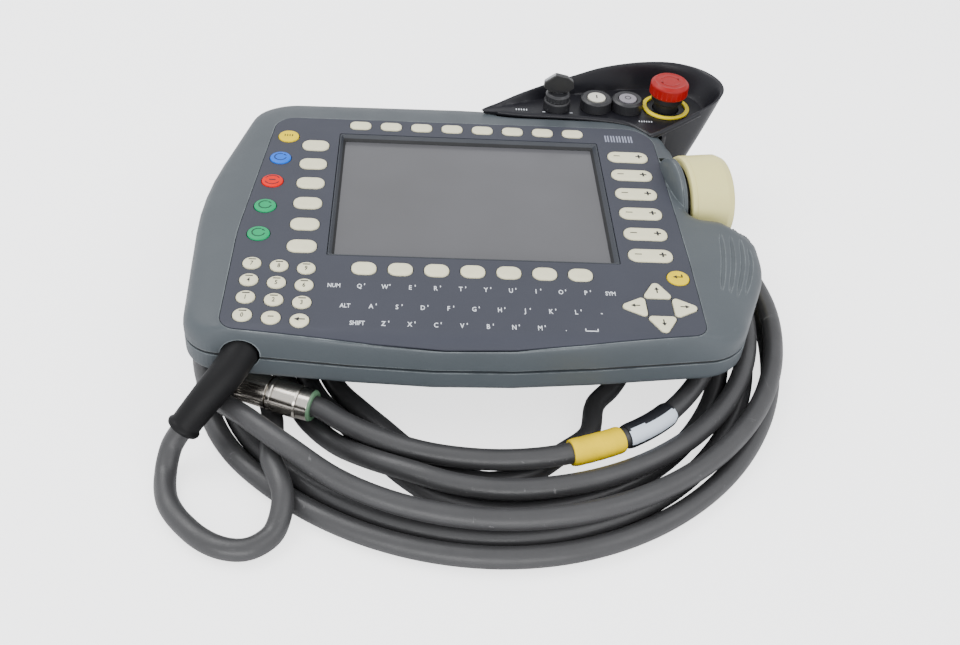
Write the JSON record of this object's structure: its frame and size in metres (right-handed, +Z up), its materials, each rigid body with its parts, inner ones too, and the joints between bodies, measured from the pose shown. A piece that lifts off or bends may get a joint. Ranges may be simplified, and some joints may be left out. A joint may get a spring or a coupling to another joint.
{
  "type": "pendant control station",
  "caption": "Hand-held robot control station with display, keypad, emergency stop, mode switch, rotary hand controller and a coiled cable with plug.",
  "frame": {"origin": "centre of the footprint at the plane the coil rests on", "axes": "+Z up, out of the key panel; +X to the operator's right; +Y away from the operator"},
  "size_m": [0.3706, 0.3876, 0.0974],
  "materials": {
    "casing": "satin, fine grain",
    "seal": "matte",
    "membrane": "matte printed foil",
    "key": "matte",
    "yellow": "satin",
    "blue": "satin",
    "red": "satin",
    "green": "satin",
    "display": "clear",
    "board": "satin",
    "head": "satin",
    "white": "satin",
    "knob": "satin",
    "cable": "matte",
    "rubber": "matte",
    "steel": "satin",
    "nickel": "satin nickel plate"
  },
  "bodies": {
    "station": {"front_shell": "casing", "rear_shell": "casing", "housing_seal": "seal", "case_screw_1": "steel", "case_screw_2": "steel", "case_screw_3": "steel", "case_screw_4": "steel", "membrane_panel": "membrane", "key_mat": "key", "display_frame": "head", "display_window": "display", "display_module": "steel", "keypad_board": "board", "main_board": "board", "head_shell": "head", "head_cover": "head", "estop_ring": "yellow", "estop_block": "head", "drives_on_bezel": "head", "drives_off_bezel": "head", "switch_board": "board", "selector_collar": "head", "controller_flange": "steel", "cable": "cable", "cable_boot": "rubber", "marker_sleeve": "yellow", "cable_label": "white", "plug_clamp_nut": "nickel", "plug_backshell": "nickel", "plug_insert": "head"},
    "estop_plunger": {"estop_stem": "head"},
    "estop_mushroom": {"estop_cap": "red"},
    "drives_on_insert": {"drives_on_button": "white"},
    "drives_off_insert": {"drives_off_button": "head"},
    "selector_barrel": {"selector_rotor": "steel"},
    "removable_key": {"selector_key": "steel"},
    "controller_slider": {"controller_spring_plate": "steel"},
    "controller_ring": {"controller_gimbal": "steel"},
    "controller_grip": {"controller_cap": "knob"},
    "enable_left_key": {"enable_switch_left": "white"},
    "enable_centre_key": {"enable_switch_centre": "white"},
    "enable_right_key": {"enable_switch_right": "white"},
    "start_plunger": {"start_button": "green"},
    "key_yellow_cap": {"key_yellow": "yellow"},
    "key_blue_cap": {"key_blue": "blue"},
    "key_red_cap": {"key_red": "red"},
    "key_green_upper_cap": {"key_green_upper": "green"},
    "key_green_lower_cap": {"key_green_lower": "green"},
    "key_enter_cap": {"key_enter": "key"},
    "key_up_cap": {"key_up": "key"},
    "key_left_cap": {"key_left": "key"},
    "key_right_cap": {"key_right": "key"},
    "key_down_cap": {"key_down": "key"},
    "jog_rocker_1": {"jog_key_1": "key"},
    "jog_rocker_2": {"jog_key_2": "key"},
    "jog_rocker_3": {"jog_key_3": "key"},
    "jog_rocker_4": {"jog_key_4": "key"},
    "jog_rocker_5": {"jog_key_5": "key"},
    "jog_rocker_6": {"jog_key_6": "key"},
    "plug_ring": {"plug_coupling_ring": "nickel"}
  },
  "joints": [
    {"name": "estop_push", "type": "slide", "parent": "station", "child": "estop_plunger", "axis": [0, 0, -1], "range_m": [0, 0.0045], "stiffness_N_per_m": 2000},
    {"name": "estop_twist", "type": "hinge", "parent": "estop_plunger", "child": "estop_mushroom", "pos_m": [0.12851, 0.15884, 0.089], "axis": [0, 0, -1], "range_deg": [0, 45], "stiffness_Nm_per_rad": 0.05},
    {"name": "drives_on_push", "type": "slide", "parent": "station", "child": "drives_on_insert", "axis": [0, 0, -1], "range_m": [0, 0.0025], "stiffness_N_per_m": 1000},
    {"name": "drives_off_push", "type": "slide", "parent": "station", "child": "drives_off_insert", "axis": [0, 0, -1], "range_m": [0, 0.0025], "stiffness_N_per_m": 1000},
    {"name": "selector_turn", "type": "hinge", "parent": "station", "child": "selector_barrel", "pos_m": [0.04981, 0.15354, 0.082], "axis": [0, 0, 1], "range_deg": [-45, 45]},
    {"name": "key_pull", "type": "slide", "parent": "selector_barrel", "child": "removable_key", "axis": [0, 0, 1], "range_m": [0, 0.025]},
    {"name": "controller_push", "type": "slide", "parent": "station", "child": "controller_slider", "axis": [0.9877, 0.1564, 0], "range_m": [-0.001, 0.001], "stiffness_N_per_m": 4000},
    {"name": "controller_tilt", "type": "hinge", "parent": "controller_slider", "child": "controller_ring", "pos_m": [0.12789, 0.06583, 0.057], "axis": [0, 0, 1], "range_deg": [-3, 3], "stiffness_Nm_per_rad": 4},
    {"name": "controller_twist", "type": "hinge", "parent": "controller_ring", "child": "controller_grip", "pos_m": [0.12789, 0.06583, 0.057], "axis": [0.9877, 0.1564, 0], "range_deg": [-4, 4], "stiffness_Nm_per_rad": 4},
    {"name": "enable_left_squeeze", "type": "slide", "parent": "station", "child": "enable_left_key", "axis": [0, 0, 1], "range_m": [0, 0.0035], "stiffness_N_per_m": 1500},
    {"name": "enable_centre_squeeze", "type": "slide", "parent": "station", "child": "enable_centre_key", "axis": [0, 0, 1], "range_m": [0, 0.0035], "stiffness_N_per_m": 1500},
    {"name": "enable_right_squeeze", "type": "slide", "parent": "station", "child": "enable_right_key", "axis": [0, 0, 1], "range_m": [0, 0.0035], "stiffness_N_per_m": 1500},
    {"name": "start_push", "type": "slide", "parent": "station", "child": "start_plunger", "axis": [0, 0, 1], "range_m": [0, 0.0025], "stiffness_N_per_m": 1000},
    {"name": "key_yellow_press", "type": "slide", "parent": "station", "child": "key_yellow_cap", "axis": [0, 0, -1], "range_m": [0, 0.0008], "stiffness_N_per_m": 800},
    {"name": "key_blue_press", "type": "slide", "parent": "station", "child": "key_blue_cap", "axis": [0, 0, -1], "range_m": [0, 0.0008], "stiffness_N_per_m": 800},
    {"name": "key_red_press", "type": "slide", "parent": "station", "child": "key_red_cap", "axis": [0, 0, -1], "range_m": [0, 0.0008], "stiffness_N_per_m": 800},
    {"name": "key_green_upper_press", "type": "slide", "parent": "station", "child": "key_green_upper_cap", "axis": [0, 0, -1], "range_m": [0, 0.0008], "stiffness_N_per_m": 800},
    {"name": "key_green_lower_press", "type": "slide", "parent": "station", "child": "key_green_lower_cap", "axis": [0, 0, -1], "range_m": [0, 0.0008], "stiffness_N_per_m": 800},
    {"name": "key_enter_press", "type": "slide", "parent": "station", "child": "key_enter_cap", "axis": [0, 0, -1], "range_m": [0, 0.0008], "stiffness_N_per_m": 800},
    {"name": "key_up_press", "type": "slide", "parent": "station", "child": "key_up_cap", "axis": [0, 0, -1], "range_m": [0, 0.0008], "stiffness_N_per_m": 800},
    {"name": "key_left_press", "type": "slide", "parent": "station", "child": "key_left_cap", "axis": [0, 0, -1], "range_m": [0, 0.0008], "stiffness_N_per_m": 800},
    {"name": "key_right_press", "type": "slide", "parent": "station", "child": "key_right_cap", "axis": [0, 0, -1], "range_m": [0, 0.0008], "stiffness_N_per_m": 800},
    {"name": "key_down_press", "type": "slide", "parent": "station", "child": "key_down_cap", "axis": [0, 0, -1], "range_m": [0, 0.0008], "stiffness_N_per_m": 800},
    {"name": "jog_key_1_rock", "type": "hinge", "parent": "station", "child": "jog_rocker_1", "pos_m": [0.09261, 0.09184, 0.071], "axis": [0, 1, 0], "range_deg": [-2.5, 2.5], "stiffness_Nm_per_rad": 0.3},
    {"name": "jog_key_2_rock", "type": "hinge", "parent": "station", "child": "jog_rocker_2", "pos_m": [0.09261, 0.07048, 0.071], "axis": [0, 1, 0], "range_deg": [-2.5, 2.5], "stiffness_Nm_per_rad": 0.3},
    {"name": "jog_key_3_rock", "type": "hinge", "parent": "station", "child": "jog_rocker_3", "pos_m": [0.09261, 0.04912, 0.071], "axis": [0, 1, 0], "range_deg": [-2.5, 2.5], "stiffness_Nm_per_rad": 0.3},
    {"name": "jog_key_4_rock", "type": "hinge", "parent": "station", "child": "jog_rocker_4", "pos_m": [0.09261, 0.02776, 0.071], "axis": [0, 1, 0], "range_deg": [-2.5, 2.5], "stiffness_Nm_per_rad": 0.3},
    {"name": "jog_key_5_rock", "type": "hinge", "parent": "station", "child": "jog_rocker_5", "pos_m": [0.09261, 0.0064, 0.071], "axis": [0, 1, 0], "range_deg": [-2.5, 2.5], "stiffness_Nm_per_rad": 0.3},
    {"name": "jog_key_6_rock", "type": "hinge", "parent": "station", "child": "jog_rocker_6", "pos_m": [0.09261, -0.01496, 0.071], "axis": [0, 1, 0], "range_deg": [-2.5, 2.5], "stiffness_Nm_per_rad": 0.3},
    {"name": "plug_coupling_turn", "type": "hinge", "parent": "station", "child": "plug_ring", "pos_m": [-0.10179, -0.09916, 0.0232], "axis": [-0.9302, 0.3671, 0], "continuous": true}
  ]
}
